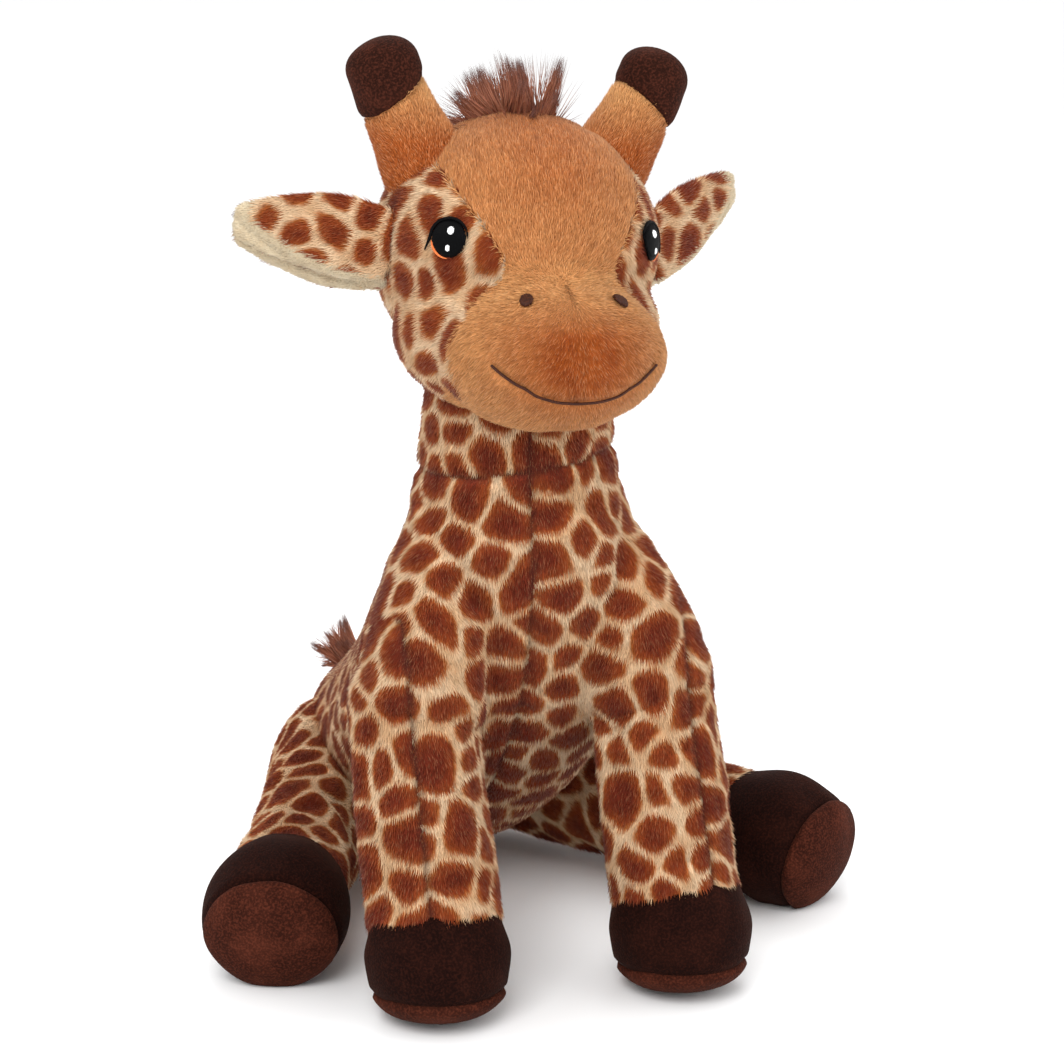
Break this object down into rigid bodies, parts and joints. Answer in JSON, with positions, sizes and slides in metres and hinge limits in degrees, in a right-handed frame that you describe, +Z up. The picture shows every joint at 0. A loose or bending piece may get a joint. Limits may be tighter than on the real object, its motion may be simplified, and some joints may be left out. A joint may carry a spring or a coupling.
{
  "type": "plush giraffe",
  "caption": "Stuffed toy giraffe in a sitting pose, sewn from spotted pile fabric, with legs, head, ears and tail that bend at their seams.",
  "frame": {"origin": "middle of the flat seat under the rump, on the floor", "axes": "+Z up along the longest extent, -Y towards the face, +X towards the giraffe's own left side"},
  "size_m": [0.2643, 0.2885, 0.3383],
  "materials": {
    "spotted_plush": "pile",
    "tan_plush": "pile",
    "orange_plush": "pile",
    "brown_velour": "velour",
    "sole_velour": "velour",
    "cream_velour": "velour",
    "black_thread": "satin stitch",
    "white_thread": "satin stitch",
    "brown_thread": "satin stitch",
    "long_hair": "long pile",
    "filling": "loose fibre"
  },
  "bodies": {
    "ear_left": {"ear_left": "spotted_plush", "ear_lining_left": "cream_velour"},
    "ear_right": {"ear_lining_right": "cream_velour", "ear_right": "spotted_plush"},
    "head": {"eye_glint_left": "white_thread", "eye_glint_right": "white_thread", "eye_left": "black_thread", "eye_right": "black_thread", "eyelid_left": "black_thread", "eyelid_right": "black_thread", "forehead_panel": "tan_plush", "forelock": "long_hair", "head_cover": "spotted_plush", "head_filling": "filling", "horn_cap_left": "brown_velour", "horn_cap_right": "brown_velour", "horn_left": "tan_plush", "horn_right": "tan_plush", "mane_crown": "long_hair", "mouth_stitch": "brown_thread", "muzzle_panel_left": "orange_plush", "muzzle_panel_right": "orange_plush", "nostril_left": "brown_thread", "nostril_right": "brown_thread"},
    "front_leg_left": {"front_hoof_left": "brown_velour", "front_leg_cover_left": "spotted_plush", "front_leg_filling_left": "filling", "front_sole_left": "sole_velour"},
    "front_leg_right": {"front_hoof_right": "brown_velour", "front_leg_cover_right": "spotted_plush", "front_leg_filling_right": "filling", "front_sole_right": "sole_velour"},
    "hind_leg_left": {"hind_hoof_left": "brown_velour", "hind_leg_cover_left": "spotted_plush", "hind_leg_filling_left": "filling", "hind_sole_left": "sole_velour"},
    "hind_leg_right": {"hind_hoof_right": "brown_velour", "hind_leg_cover_right": "spotted_plush", "hind_leg_filling_right": "filling", "hind_sole_right": "sole_velour"},
    "torso": {"mane_neck": "long_hair", "torso_cover": "spotted_plush", "torso_filling": "filling"},
    "tail": {"tail_cord": "spotted_plush", "tail_tuft": "long_hair"}
  },
  "joints": [
    {"name": "head_turn", "type": "hinge", "parent": "torso", "child": "head", "pos_m": [0, -0.138, 0.204], "axis": [0, 0, 1], "range_deg": [-15, 15], "stiffness_Nm_per_rad": 1},
    {"name": "ear_left_swing", "type": "hinge", "parent": "head", "child": "ear_left", "pos_m": [0.05065, -0.13601, 0.25988], "axis": [-0.2966, -0.2289, 0.9272], "range_deg": [-25, 25], "stiffness_Nm_per_rad": 0.02},
    {"name": "ear_right_swing", "type": "hinge", "parent": "head", "child": "ear_right", "pos_m": [-0.05084, -0.144, 0.26611], "axis": [0.1555, -0.0386, 0.9871], "range_deg": [-25, 25], "stiffness_Nm_per_rad": 0.02},
    {"name": "front_leg_left_swing", "type": "hinge", "parent": "torso", "child": "front_leg_left", "pos_m": [0.0445, -0.156, 0.106], "axis": [-0.9976, -0.0698, 0], "range_deg": [0, 25], "stiffness_Nm_per_rad": 1},
    {"name": "front_leg_right_swing", "type": "hinge", "parent": "torso", "child": "front_leg_right", "pos_m": [-0.0445, -0.156, 0.106], "axis": [-1, 0, 0], "range_deg": [0, 25], "stiffness_Nm_per_rad": 1},
    {"name": "hind_leg_left_swing", "type": "hinge", "parent": "torso", "child": "hind_leg_left", "pos_m": [0.036, -0.004, 0.035], "axis": [0, 0, 1], "range_deg": [0, 20], "stiffness_Nm_per_rad": 1},
    {"name": "hind_leg_right_swing", "type": "hinge", "parent": "torso", "child": "hind_leg_right", "pos_m": [-0.036, -0.004, 0.035], "axis": [0, 0, -1], "range_deg": [0, 20], "stiffness_Nm_per_rad": 1},
    {"name": "tail_swing", "type": "hinge", "parent": "torso", "child": "tail", "pos_m": [0, 0.043, 0.058], "axis": [0, 0, 1], "range_deg": [-15, 15], "stiffness_Nm_per_rad": 0.01}
  ]
}
